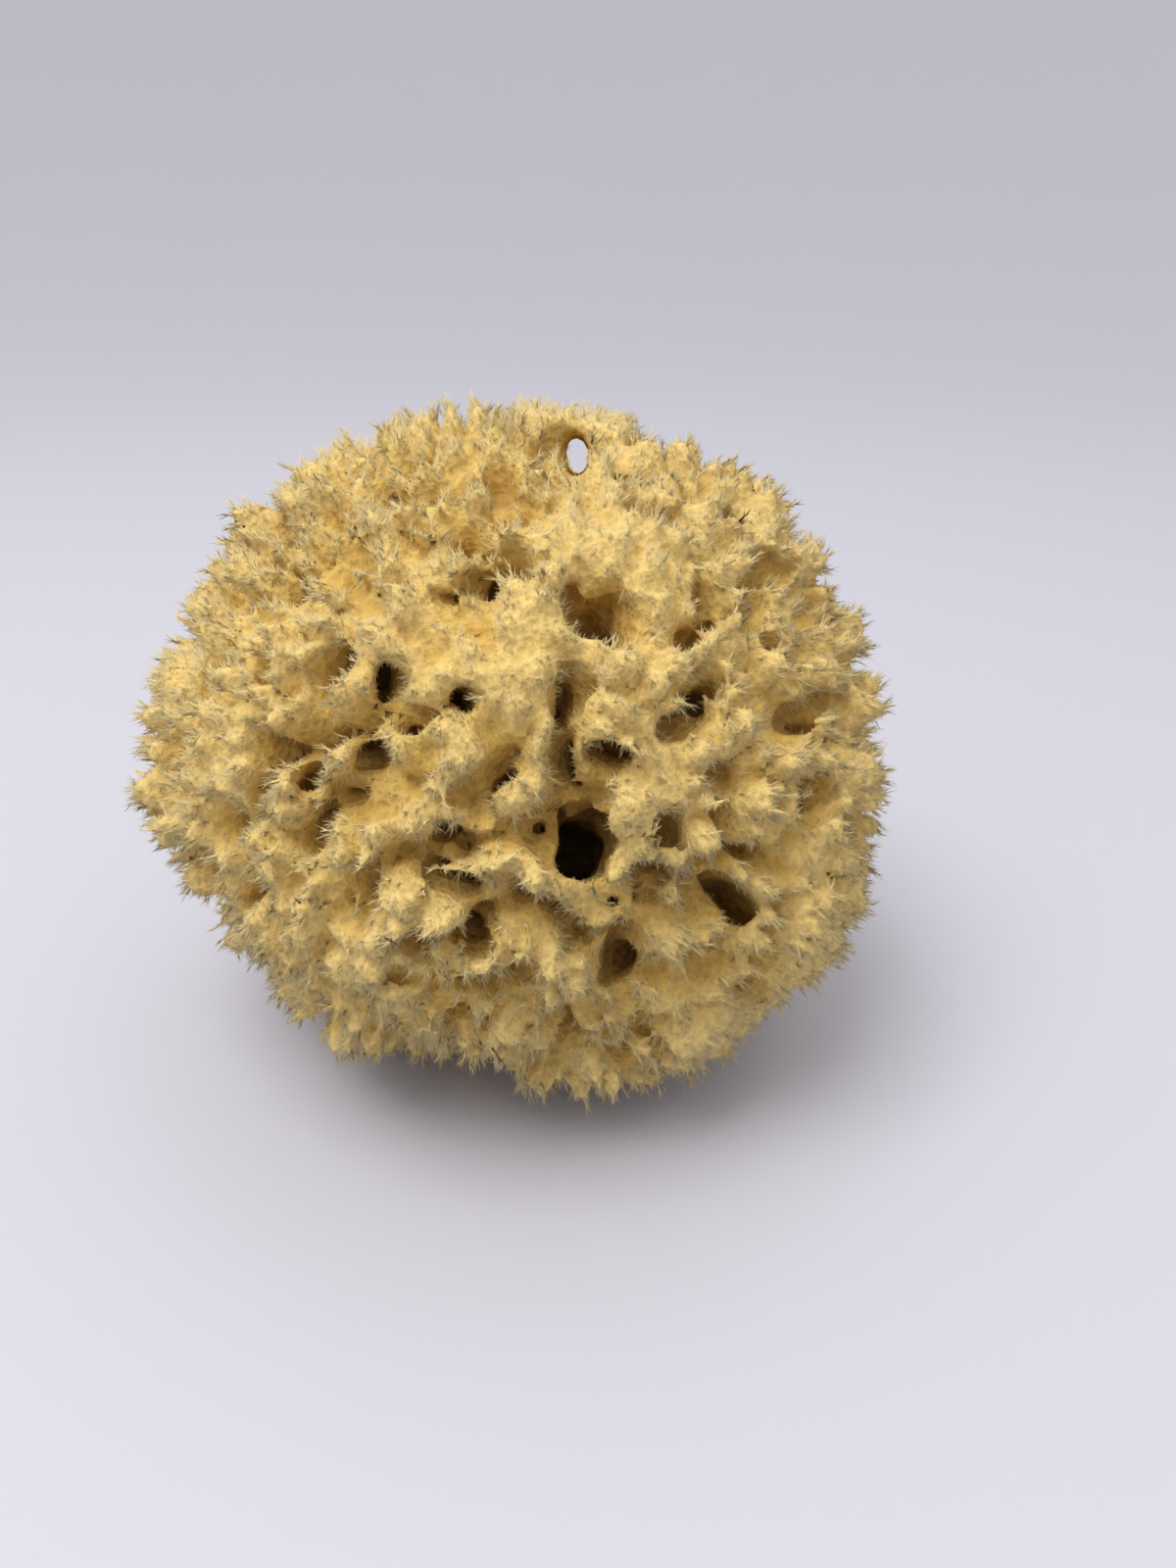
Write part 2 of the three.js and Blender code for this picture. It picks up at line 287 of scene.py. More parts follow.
SWELLS = [
    (60, -18, 26, 8.5), (28, -43, 13, 6), (-70, 4, 17, 3.5), (-52, -25, 11, -3), (-36, -38, 9, 2.5),
    (-13, -48, 10, -5), (84, 24, 12, 3.5), (96, 44, 13, 4), (-128, -12, 30, 4), (158, 8, 24, 3),
    (-160, 30, 20, -2.5), (176, -34, 16, 3), (118, -30, 14, -3),
]
NOTCHES = [(107, 63, 4.5, -6.5), (112, 70, 3.5, 2.5), (-80, 29, 6.5, -4)]
SOLID_SPOTS = [(120, 76, 12), (0, -90, 14)]
FRONT_CANALS = [
    (0, 47, 6.5, 7, 0, 15), (19, 43, 9, 10, -20, 11), (-16, 33, 5, 7, -10, 16), (-3, 31, 4.5, 5, 0, 13),
    (-16, 21, 6, 6.5, 0, 14), (2, 21, 6, 4, -30, 13), (-6, 13, 5, 6, 0, 14), (-6, 6, 10, 6, 8, 14),
    (13, 11, 12, 14, -20, 24), (22, 5, 6, 4, 0, 12), (25, 12, 5, 7, -25, 14), (10, 24, 4, 9, 10, 12),
    (18, 22, 6, 8, 0, 10), (29, 25, 7, 4, 0, 14), (35, 36, 6, 5.5, 20, 11), (49, 20, 6.5, 8, -20, 12),
    (59, 21, 7, 6, 0, 10), (34, 0, 5, 13, -48, 14), (16, -9, 8, 6, -30, 13), (-1, -4, 6, 5, 0, 11),
    (-27, 20, 6, 6, 0, 11),
]
FRONT_PITS = [
    (-13, 28, 10, 8, 0, 8), (-16, 16, 7, 5, -10, 8), (-25, 24, 9, 8, 0, 7), (-34, 51, 14, 11, 20, 7),
    (24, 38, 8, 7, 0, 7), (37, 29, 9, 6, 0, 6), (15, 33, 8, 7, 0, 7), (-8, 45, 6, 6, 0, 5),
    (-16, 52, 6, 6, 0, 5), (-6, 56, 6, 6, 30, 7), (-42, 43, 9, 6, 0, 6), (-49, 24, 12, 6, 20, 6),
    (-39, 31, 7, 6, 0, 6), (-36, 14, 6, 8, 0, 5), (-30, 2, 6, 6, 0, 5), (-20, 2, 10, 6, 20, 5),
    (-22, -23, 14, 6, 0, 4), (-12, -11, 14, 6, 0, 6), (16, 2, 6, 6, 0, 5), (-3, 17, 6, 9, -25, 8),
    (55, 35, 7, 6, 0, 5), (60, -10, 10, 6, 0, 6), (42, -22, 6, 11, -20, 6), (12, -22, 12, 8, 0, 6),
    (5, -10, 6, 10, 0, 7),
]
WINDOW_MIDDLE = np.array([13, 11.5, 56])
WINDOW_SLOPE = np.radians(11.5)
WINDOW_SIZE = (4.5, 7.6)
HOLE_WAVER = (4.6, 1.9)
HOLE_FINE_ROUGH = (3.2, 0.2)
HOLE_BROAD_ROUGH = (8, 0.2)
HOLE_BEND = 0.35
HOLE_TAPER = 0.15
HOLE_ROUNDS_FROM = 0.7
HOLE_ROUNDS_OVER = 0.3
MOUTH_FLARE = (4, 0.12)
OVER_MOUTH = 10
WIDE_HOLE = 4
SEEN_INTO_CANAL = 0.8
NARROW_CANAL = 3.5
SEEN_INTO_PIT = 0.4
CANAL_SHARE = 1.14
PIT_SHARE = 0.95
CANAL_DEEPER = 1.7
FRONT_PIT_DEEPER = 1.1
SCATTER_DEEPER = 1.15
EYE_SIZE = 1.8
EYE_DEEPER = 12
EYE_CHANCE = 0.7
EYE_STRAY = 0.4
WINDOW_ROUGH = (4, 0.1)
HEART = 20
CUT_SNAP = 0.6


def chance(index):
    """A repeatable number from 0 to 1 for each index: the fraction of a large sine."""
    wave = np.sin(np.asarray(index, float) * 12.9898 + 78.233) * 43758.5453
    return wave - np.floor(wave)


def towards(bearing, lift):
    """The unit vector at a bearing from the front towards +X and a lift, both in degrees."""
    b, l = np.radians(bearing), np.radians(lift)
    return np.array([np.sin(b) * np.cos(l), -np.cos(b) * np.cos(l), np.sin(l)])


def unit(vectors):
    return vectors / np.linalg.norm(vectors, axis=-1, keepdims=True)


def spiral_directions(count, first):
    """Even directions on a golden spiral, each strayed by a share of the pitch."""
    i = np.arange(count)
    z = 1 - (2 * i + 1) / count
    ring = np.sqrt(1 - z * z)
    turn = i * np.pi * (3 - np.sqrt(5))
    stray = chance(first + 3 * i[:, None] + np.arange(3)) * 2 - 1
    spread = STRAY * np.sqrt(4 * np.pi / count)
    return unit(np.stack([ring * np.cos(turn), ring * np.sin(turn), z], -1) + stray * spread)


def spread_share(ways, bearing, lift, spread):
    """Angle from each direction to a spot, as a share of the spot's spread."""
    return np.arccos(np.clip(ways @ towards(bearing, lift), -1, 1)) / np.radians(spread)


def ball_radius(ways):
    """Distance from the centre to the tufts' tips: an ellipsoid plus a bell for each swelling and notch."""
    radius = 1 / np.linalg.norm(ways / HALF_AXES, axis=-1)
    for bearing, lift, spread, height in SWELLS + NOTCHES:
        radius = radius + height * np.exp(-spread_share(ways, bearing, lift, spread) ** 2)
    return radius


def cloud(points, size, seed):
    """Smooth chance from -1 to 1 in space: random values at the corners of a lattice, blended between them
    by 6 t^5 - 15 t^4 + 10 t^3."""
    table = np.random.default_rng(seed).random((32, 32, 32), dtype=np.float32) * 2 - 1
    turned = points @ np.array([[0.8, 0.36, -0.48], [-0.6, 0.48, -0.64], [0, 0.8, 0.6]], np.float32)
    place = turned / size + 100.37
    base = np.floor(place).astype(np.int32)
    part = (place - base).astype(np.float32)
    part = part * part * part * (part * (part * 6 - 15) + 10)
    low, high = base & 31, (base + 1) & 31
    x, y, z = part[..., 0], part[..., 1], part[..., 2]
    total = 0
    for a, wx in ((low, 1 - x), (high, x)):
        for b, wy in ((low, 1 - y), (high, y)):
            for c, wz in ((low, 1 - z), (high, z)):
                total = total + wx * wy * wz * table[a[..., 0], b[..., 1], c[..., 2]]
    return total


def nearest_seeds(points, size, seed):
    """Distances, in cells, from each point to the nearest two of a scatter of seeds, one at a random place
    in each cell of a lattice, and the nearest seed's own chance."""
    table = np.random.default_rng(seed).random((32, 32, 32, 4), dtype=np.float32)
    place = (points / size).astype(np.float32) + 100
    base = np.floor(place).astype(np.int32)
    nearest, second = np.full((2, len(points)), 9, np.float32)
    own = np.zeros(len(points), np.float32)
    for x in (-1, 0, 1):
        for y in (-1, 0, 1):
            for z in (-1, 0, 1):
                cell = base + np.array([x, y, z], np.int32)
                wrapped = cell & 31
                values = table[wrapped[:, 0], wrapped[:, 1], wrapped[:, 2]]
                away = np.linalg.norm(place - cell - values[:, :3], axis=1)
                second = np.minimum(second, np.maximum(nearest, away))
                own = np.where(away < nearest, values[:, 3], own)
                nearest = np.minimum(nearest, away)
    return nearest, second, own


def hollow(way, width, height, turn, depth):
    """A hollow's mouth: its direction, the ways its width and height run, its half sizes and its depth."""
    level = unit(np.cross([0, 0, 1], way))
    rise = np.cross(way, level)
    angle = -np.radians(turn)
    across = level * np.cos(angle) + rise * np.sin(angle)
    along = rise * np.cos(angle) - level * np.sin(angle)
    return way, across, along, width / 2, height / 2, depth


front_canals = [hollow(towards(*row[:2]), *row[2:]) for row in FRONT_CANALS]
front_pits = [hollow(towards(*row[:2]), *row[2:]) for row in FRONT_PITS]
front_ways = np.array([row[0] for row in front_canals + front_pits])
scatter_ways = spiral_directions(SCATTER_COUNT, CHANCE["hollows"])
scatter_ways = scatter_ways[scatter_ways[:, 2] * HALF_AXES[2] > LOWEST_SCATTER]
scatter_ways = scatter_ways[np.arccos(np.clip(scatter_ways @ front_ways.T, -1, 1)).min(1) > CLEAR_OF_FRONT]
scattered = []
for number, way in enumerate(scatter_ways):
    width, height = (
        SCATTER_SIZE[0] + (SCATTER_SIZE[1] - SCATTER_SIZE[0]) * chance(CHANCE[size] + number)
        for size in ("width", "height")
    )
    depth = SCATTER_DEPTH[0] + (SCATTER_DEPTH[1] - SCATTER_DEPTH[0]) * chance(CHANCE["depth"] + number)
    scattered.append(hollow(way, width, height, 180 * chance(CHANCE["turn"] + number), depth))

tongues = spiral_directions(TONGUE_COUNT, CHANCE["tongues"]).astype(np.float32)


def skin_depth(ways, radius):
    """How far the skin lies under the ball: the crests' drop, less each tongue's own rise, plus the groove
    along each border between two tongues, whose strength is a chance of that pair."""
    depth = np.empty(len(ways), np.float32)
    for part in np.array_split(np.arange(len(ways)), max(1, len(ways) // 100000)):
        gaps = np.sqrt(np.maximum(0, 2 - 2 * (ways[part].astype(np.float32) @ tongues.T)))
        two = np.argpartition(gaps, 1, axis=1)[:, :2]
        near = np.take_along_axis(gaps, two, 1)
        order = np.argsort(near, axis=1)
        two, near = np.take_along_axis(two, order, 1), np.take_along_axis(near, order, 1)
        pair = two.min(1) * TONGUE_COUNT + two.max(1)
        strength = np.maximum(0, 1 - (1 - chance(pair)) / GROOVE_SHARE)
        border = np.exp(-(((near[:, 1] - near[:, 0]) * radius[part]) / GROOVE_WIDTH) ** 2)
        rise = TONGUE_RISE * (chance(CHANCE["rise"] + two[:, 0]) * 2 - 1) * (1 - border)
        depth[part] = GROOVE_DEPTH * strength * border - rise
    return depth + CREST_DROP


def skeleton_field():
    """A grid over the ball that is below zero inside the sponge: the distance from the middle less that of
    the skin, with its tongues and grooves, which waver with depth, and its fronds, lumps and ragged edge."""
    axes = [np.arange(low, high, VOXEL, dtype=np.float32) for low, high in GRID_SIDES]
    grid = np.stack(np.meshgrid(*axes, indexing="ij"), -1).astype(np.float32)
    reach = np.linalg.norm(grid, axis=-1)
    field = (reach - SHELL_MIDDLE).astype(np.float32)
    shell = (reach > SHELL[0]) & (reach < SHELL[1])
    points = grid[shell]
    ways = unit(points)
    radius = ball_radius(ways).astype(np.float32)
    flat = ways * MEAN_RADIUS
    waver = np.stack([cloud(points, WAVER[0], seed) for seed in (1, 2, 3)], -1) * WAVER[1]
    fine = np.stack([cloud(points, FINE_WAVER[0], seed) for seed in (4, 5, 6)], -1) * FINE_WAVER[1]
    bent = unit(flat + waver + fine)
    depth = skin_depth(bent, radius)
    even = 1 - EVEN_BAND_SHARE * np.exp(-spread_share(ways, *EVEN_BAND) ** 2)
    depth = CREST_DROP + (depth - CREST_DROP) * even
    lumps = cloud(flat + LUMPS_WITH_DEPTH * points, LUMPS[0], 8) * LUMPS[1]
    ragged = cloud(flat + RAGGED_WITH_DEPTH * points, RAGGED[0], 9) * RAGGED[1]
    nearest, second, own = nearest_seeds(flat + FROND_WAVER * waver, FROND_SPACING, 10)
    border = np.exp(-((second - nearest) * FROND_SPACING / FROND_WIDTH) ** 2)
    fronds = FROND_RISE * (2 * own - 1) * (1 - border) - FROND_GROOVE * (border - FROND_MEAN)
    fronds *= np.clip(FROND_USUAL + FROND_REGIONS[1] * cloud(flat, FROND_REGIONS[0], 11), *FROND_LIMITS)
    fronds *= 1 - EVEN_SPOT_SHARE * np.exp(-spread_share(ways, *EVEN_SPOT) ** 2)
    rough_skin = reach[shell] - (radius - depth + lumps + ragged + fronds)
    full_skin = reach[shell] - (radius - CREST_DROP + RAGGED_ON_SOLID * ragged)
    away = np.ones(len(points), np.float32)
    for bearing, lift, spread in SOLID_SPOTS:
        away = np.minimum(away, 1 - np.exp(-spread_share(ways, bearing, lift, spread) ** 4))
    field[shell] = np.where(away < 0.5, np.minimum(rough_skin, full_skin), rough_skin)
    return axes, grid, field


def take_out(mouth, way, across, along, half_width, half_height, depth, seed):
    """Takes a tube out of the field: an oval that flares at the mouth, wavers, bends to a side as it goes
    in, and ends round. The field becomes the greater of itself and minus the tube's distance."""
    reach = max(half_width, half_height) * 1.5 + HOLE_BEND * depth
    ends = np.array([mouth + way * OVER_MOUTH, mouth - way * depth])
    low = [np.searchsorted(axes[k], (ends.min(0) - reach)[k]) for k in range(3)]
    high = [np.searchsorted(axes[k], (ends.max(0) + reach)[k]) for k in range(3)]
    part = tuple(slice(a, b) for a, b in zip(low, high))
    points = grid[part] - mouth.astype(np.float32)
    inwards = -(points @ way.astype(np.float32))
    share = np.clip(inwards / depth, 0, 1)
    angle = 2 * np.pi * chance(seed)
    side = across * np.cos(angle) + along * np.sin(angle)
    points = points - side.astype(np.float32) * (HOLE_BEND * depth * share ** 2)[..., None]
    rough = cloud(grid[part], HOLE_FINE_ROUGH[0], 20) * HOLE_FINE_ROUGH[1]
    rough = rough + cloud(grid[part], HOLE_BROAD_ROUGH[0], 21) * HOLE_BROAD_ROUGH[1]
    waver = np.stack([cloud(grid[part], HOLE_WAVER[0], number) for number in (23, 24, 25)], -1)
    points = points + waver * HOLE_WAVER[1] * max(1, half_width / WIDE_HOLE)
    sideways = points @ across.astype(np.float32) / half_width
    lengthways = points @ along.astype(np.float32) / half_height
    oval = np.hypot(sideways, lengthways)
    size = 1 + MOUTH_FLARE[1] * np.clip(-inwards / MOUTH_FLARE[0], 0, 1) - HOLE_TAPER * share + rough
    end = np.clip((inwards - HOLE_ROUNDS_FROM * depth) / (HOLE_ROUNDS_OVER * depth), 0, 1)
    size = size * np.sqrt(np.maximum(0, 1 - end * end)) - (end >= 1) * 0.5
    tube = (oval - size) * min(half_width, half_height)
    field[part] = np.maximum(field[part], -tube)


def surface_nets(field, axes):
    """The zero surface of a grid of values. Each cell that it crosses gets one point, the mean of the places
    where its edges cross zero, and each crossed edge of the grid joins the cells round it with a face."""
    inside = field < 0
    crossed = np.zeros(tuple(n - 1 for n in field.shape), bool)
    wide, deep, high = crossed.shape
    corner = inside[:-1, :-1, :-1]
    for dx in (0, 1):
        for dy in (0, 1):
            for dz in (0, 1):
                crossed |= inside[dx:dx + wide, dy:dy + deep, dz:dz + high] != corner
    cells = np.argwhere(crossed)
    number = np.full(crossed.shape, -1, np.int64)
    number[crossed] = np.arange(len(cells))
    total = np.zeros((len(cells), 3))
    count = np.zeros(len(cells))
    for axis in range(3):
        step = np.eye(3, dtype=int)[axis]
        others = [k for k in range(3) if k != axis]
        for a in (0, 1):
            for b in (0, 1):
                start = np.zeros(3, int)
                start[others[0]], start[others[1]] = a, b
                first = field[tuple((cells + start).T)]
                last = field[tuple((cells + start + step).T)]
                hit = (first < 0) != (last < 0)
                where = np.where(hit, first / np.where(hit, first - last, 1), 0)
                total += hit[:, None] * (start + where[:, None] * step)
                count += hit
    origin = np.array([axis[0] for axis in axes])
    points = origin + VOXEL * (cells + total / count[:, None])
    faces = []
    for axis in range(3):
        step = np.eye(3, dtype=int)[axis]
        one, two = np.eye(3, dtype=int)[(axis + 1) % 3], np.eye(3, dtype=int)[(axis + 2) % 3]
        limit = np.array(field.shape) - step
        here = inside[:limit[0], :limit[1], :limit[2]]
        there = inside[step[0]:, step[1]:, step[2]:]
        edge = np.argwhere(here != there)
        edge = edge[(edge @ one > 0) & (edge @ two > 0)]
        edge = edge[(edge < np.array(crossed.shape)).all(1)]
        quad = np.stack([number[tuple((edge - p).T)] for p in (one + two, two, 0 * one, one)], -1)
        outwards = inside[tuple(edge.T)]
        faces.append(np.where(outwards[:, None], quad, quad[:, ::-1]))
    return points, np.concatenate(faces)


axes, grid, field = skeleton_field()
for number, hole in enumerate(front_canals + front_pits + scattered):
    way, across, along, half_width, half_height, depth = hole
    mouth = way * (ball_radius(way[None])[0] - CREST_DROP)
    is_canal = number < len(front_canals)
    deeper = depth * SCATTER_DEEPER
    if number < len(front_canals) + len(front_pits):
        seen_in = SEEN_INTO_CANAL * min(1, NARROW_CANAL / half_width) if is_canal else SEEN_INTO_PIT
        from_eye = unit(mouth * MM + BALL_CENTRE - eye)
        way = unit(-seen_in * from_eye + (1 - seen_in) * way)
        across, along = (unit(v - (v @ way) * way) for v in (across, along))
        deeper = depth * (CANAL_DEEPER if is_canal else FRONT_PIT_DEEPER)
        if not is_canal and chance(CHANCE["eye"] + number) > 1 - EYE_CHANCE:
            spot = mouth + EYE_STRAY * half_width * (2 * chance(CHANCE["eye place"] + number) - 1) * across
            bend_seed = CHANCE["eye bend"] + number
            take_out(spot, way, across, along, EYE_SIZE, EYE_SIZE, depth + EYE_DEEPER, bend_seed)
    wider = CANAL_SHARE if is_canal else PIT_SHARE
    bend_seed = CHANCE["bend"] + number
    take_out(mouth, way, across, along, half_width * wider, half_height * wider, deeper, bend_seed)

run = np.array([0, np.cos(WINDOW_SLOPE), -np.sin(WINDOW_SLOPE)])
window = grid - WINDOW_MIDDLE.astype(np.float32)
tall = np.cross([1, 0, 0], run)
window_high = window @ tall.astype(np.float32)
oval = np.hypot(window[..., 0] / (WINDOW_SIZE[0] / 2), window_high / (WINDOW_SIZE[1] / 2))
rough = WINDOW_ROUGH[1] * cloud(grid, WINDOW_ROUGH[0], 22)
field = np.maximum(field, (1 + rough - oval) * WINDOW_SIZE[0] / 2)
field = np.maximum(field, -CUT_DEPTH - grid[..., 2])


def spread_from(seed, allowed):
    """All the cells of a grid that a seed cell reaches through allowed cells, grown a step at a time."""
    reached = seed & allowed
    size = 0
    while reached.sum() != size:
        size = reached.sum()
        for _ in range(6):
            for axis in range(3):
                for shift in (1, -1):
                    reached |= np.roll(reached, shift, axis) & allowed
    return reached


kept = spread_from(np.linalg.norm(grid, axis=-1) < HEART, field < 0)
field = np.where((field < 0) & ~kept, VOXEL, field)
outer = np.zeros_like(kept)
outer[0], outer[:, 0], outer[:, :, 0] = True, True, True
open_air = spread_from(outer, field >= 0)
field = np.where((field >= 0) & ~open_air, -VOXEL, field)
body_points, body_faces = surface_nets(field, axes)
body_points[body_points[:, 2] < CUT_SNAP - CUT_DEPTH, 2] = -CUT_DEPTH

# The sponge's skin
# Cream on the crests, with painted shade that turns it ochre between them and brown to dark in the depths,
# crests painted paler than the creases round them, and full of pinholes painted darker in their middles as
# shade. Two numbers are kept for each place: how far it lies under the tufts' tips, and how much it stands
# out from what is round it.
BODY_TRIANGLES = 190000
RELAX_PASSES = 2
CREST_PASSES = 14
UNDER_RANGE = 40
CREST_RANGE = 12
# Cream is the crests' colour; the ochre, brown and dark after it are painted shade that deepens into the
# grooves and holes.
CREAM = (0.78, 0.58, 0.22)
GROOVE_SHADE_OCHRE = (0.65, 0.44, 0.12)
DEPTH_SHADE_BROWN = (0.40, 0.24, 0.065)
DEEP_HOLE_SHADE = (0.17, 0.105, 0.035)
BLOTCHES_PER_METRE = 70.0
BLOTCH_STRENGTH = 0.12
# Crests are painted paler and creases darker than the skin round them: painted light and shade.
CREST_LIGHT_CREASE_SHADE = 0.35
GRAINS_PER_METRE = 1300.0
PORES_PER_METRE = 620.0
# The pores' darker middles are painted shade in the pinholes; the grain is partly random tone and partly
# painted shade where its bump lies low.
GRAIN_AND_PORE_SHADE = (0.6, 0.34)
DARKEST_SHADE = 0.54
GRAIN_RELIEF = 0.6
BUMP_STRENGTH = 0.8
BUMP_DEPTH = 0.8 * MM
SKIN_ROUGHNESS = 0.9
SKIN_SHINE = 0.15


def neighbours_mean(values, pairs, count):
    """For each point, the mean of the values at the points that it shares an edge with."""
    total = np.zeros((count, *values.shape[1:]))
    np.add.at(total, pairs[:, 0], values[pairs[:, 1]])
    np.add.at(total, pairs[:, 1], values[pairs[:, 0]])
    shared = np.bincount(pairs.ravel(), minlength=count)
    return total / np.maximum(1, shared).reshape(-1, *([1] * (values.ndim - 1)))


def edge_pairs(faces):
    """Each edge of the faces once, as two point numbers."""
    both = np.stack([faces, np.roll(faces, -1, axis=1)], -1).reshape(-1, 2)
    return np.unique(np.sort(both, axis=1), axis=0)


def point_normals(points, triangles):
    """At each point, the sum of the normals of its triangles, made unit."""
    a, b, c = (points[triangles[:, k]] for k in range(3))
    normal = np.cross(b - a, c - a)
    total = np.zeros_like(points)
    for k in range(3):
        np.add.at(total, triangles[:, k], normal)
    return total / np.maximum(1e-12, np.linalg.norm(total, axis=1, keepdims=True))


pairs = edge_pairs(body_faces)
on_cut = body_points[:, 2] <= -CUT_DEPTH
for _ in range(RELAX_PASSES):
    moved = body_points + 0.5 * (neighbours_mean(body_points, pairs, len(body_points)) - body_points)
    moved[on_cut, 2] = -CUT_DEPTH
    body_points = moved
body_triangles = np.concatenate([body_faces[:, [0, 1, 2]], body_faces[:, [0, 2, 3]]])

sponge_material, sponge_shader, wire = new_material("sponge_fibre")
rough_piece = mesh_piece("sponge_skeleton_rough", body_points, body_triangles, sponge_material)
thinner = rough_piece.modifiers.new("thinner", "DECIMATE")
thinner.ratio = BODY_TRIANGLES / len(body_triangles)
thinned = rough_piece.evaluated_get(bpy.context.evaluated_depsgraph_get()).to_mesh()
thinned.calc_loop_triangles()
skin = np.empty(len(thinned.vertices) * 3)
thinned.vertices.foreach_get("co", skin)
skin = skin.reshape(-1, 3)
skin_triangles = np.empty(len(thinned.loop_triangles) * 3, np.int32)
thinned.loop_triangles.foreach_get("vertices", skin_triangles)
skin_triangles = skin_triangles.reshape(-1, 3)
bpy.data.objects.remove(rough_piece)

skin_pairs = edge_pairs(skin_triangles)
skin_normals = point_normals(skin, skin_triangles)
skin_ways = unit(skin)
skin_reach = np.linalg.norm(skin, axis=1)
under = ball_radius(skin_ways) - skin_reach
round_about = under
for _ in range(CREST_PASSES):
    round_about = neighbours_mean(round_about, skin_pairs, len(skin))
crest = round_about - under

body = mesh_piece("sponge_skeleton", skin * MM + BALL_CENTRE, skin_triangles, sponge_material)
for label, values in (("under", under / UNDER_RANGE), ("crest", crest / CREST_RANGE + 0.5)):
    layer = body.data.attributes.new(label, "FLOAT", "POINT")
    layer.data.foreach_set("value", np.clip(values, 0, 1).astype(np.float32))
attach(body, "root")
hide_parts("sponge")

place = wire.out(wire.node("ShaderNodeTexCoord"), "Object")
depth_wire = wire.out(wire.node("ShaderNodeAttribute", {"attribute_name": "under"}), "Fac")
crest_wire = wire.out(wire.node("ShaderNodeAttribute", {"attribute_name": "crest"}), "Fac")
blotches = {"Scale": BLOTCHES_PER_METRE, "Detail": 4.0, "Roughness": 0.6}
blotch = wire.out(wire.node("ShaderNodeTexNoise", None, Vector=place, **blotches), "Fac")
grains = {"Scale": GRAINS_PER_METRE, "Detail": 3.0, "Roughness": 0.7}
grain = wire.out(wire.node("ShaderNodeTexNoise", None, Vector=place, **grains), "Fac")
pores = wire.out(wire.node("ShaderNodeTexVoronoi", None, Vector=place, Scale=PORES_PER_METRE), "Distance")
# Random blotches of tone, and painted light on the crests and painted shade in the creases round them.
depth_wire = depth_wire + (blotch - 0.5) * BLOTCH_STRENGTH - (crest_wire - 0.5) * CREST_LIGHT_CREASE_SHADE
# Painted shade: the colour goes from cream to ochre, brown and near black the deeper a place lies under the
# tufts' tips.
colour = depth_wire.ramp((0.10, CREAM), (0.25, GROOVE_SHADE_OCHRE), (0.48, DEPTH_SHADE_BROWN), (0.8, DEEP_HOLE_SHADE))
# Painted shade in the pinholes, darkest in the pores' middles where the bump sinks, and partly in the
# grain's low places, with some random tone.
colour = colour.shaded(DARKEST_SHADE + grain * GRAIN_AND_PORE_SHADE[0] + pores * GRAIN_AND_PORE_SHADE[1])
wire.tree.links.new(colour.socket, sponge_shader.inputs["Base Color"])
relief = grain * GRAIN_RELIEF + pores
bump = wire.node("ShaderNodeBump", None, Height=relief, Strength=BUMP_STRENGTH, Distance=BUMP_DEPTH)
wire.tree.links.new(bump.outputs["Normal"], sponge_shader.inputs["Normal"])
sponge_shader.inputs["Roughness"].default_value = SKIN_ROUGHNESS
sponge_shader.inputs["Specular IOR Level"].default_value = SKIN_SHINE

# Tufts, hairs and felt
# The fibres end in pointed tufts on every crest and rim, like the tips of a wet brush. Each tuft splits into
# pale hairs, more hairs stand between the tufts, and a short felt covers the rest of the outside. A lean is
# how far a fibre turns outwards from the skin's normal, and how much it strays.
TUFT_SPACING = 2.6
TUFT_COUNT = 8000
TUFT_HEIGHT = (0.9, 2.4)
TUFT_BASE = (0.28, 0.58)
TUFT_SINK = 1.0
TUFT_CREST = 0.45
TUFT_UNDER = 9
TUFT_BEND = 0.28
TUFT_FLATNESS = 1.3
TUFT_RINGS = [0, 0.38, 0.72]
TUFT_LEAN = (0.62, 0.12)
TUFT_RANK_CHANCE = 0.8
TUFT_DARKER = 0.1
HAIRS_ON_TUFT = 9
HAIR_LENGTH = (0.9, 2.5)
HAIR_SPLAY = (0.1, 0.6)
HAIR_OVER_TUFT = 0.8
HAIR_BASE = 0.1
LOOSE_HAIRS = 22000
LOOSE_LENGTH = (0.9, 2.2)
LOOSE_LEAN = (0.5, 0.25)
LOOSE_OFF_CREST = 1.2
FELT_COUNT = 102000
FELT_LENGTH = (0.6, 1.7)
FELT_BASE = 0.13
FELT_LEAN = (0.35, 0.3)
FELT_OFF_CREST = 0.9
FELT_UNDER = 13
LEAST_FELT = 0.03
RIM_FELT = 1.6
MOST_WEIGHT = 2.5
DRIFT = (7, 0.45)
FINE_DRIFT = (2.5, 0.25)
HAIRS_IN_PIECE = 49000
THINNEST_TO_THICKEST = (0.75, 1.3)
TAPER = 0.8
TIP_OVER_BALL = 1.0
SOFTNESS = 0.6
OUTSIDE_UNDER = 9.5
OUTSIDE_FACING = -0.35
ABOVE_CUT = 2.5
HAIR_ABOVE_CUT = 1.5
WINDOW_CLEAR = 0.62
WINDOW_RIM = 1.7
TABLE_GAP = 0.3
UV_MARGIN = 0.02
SHADE_MIDDLE = 0.45
SHADE_WITH_HEIGHT = 0.3
SHADE_PATCHES = (14, 0.3)
SHADE_OWN = 0.12
FIBRE_ROUGHNESS = 0.75
FIBRE_SHINE = 0.03
LIGHT_THROUGH_FIBRE = 0.22
LIGHT_THROUGH_SKIN = 0.25
LIGHT_DEPTH = 1.4 * MM
LIGHT_REACH = (1.0, 0.85, 0.55)
rng = np.random.default_rng(11)


def between(low_high, share):
    return low_high[0] + (low_high[1] - low_high[0]) * share


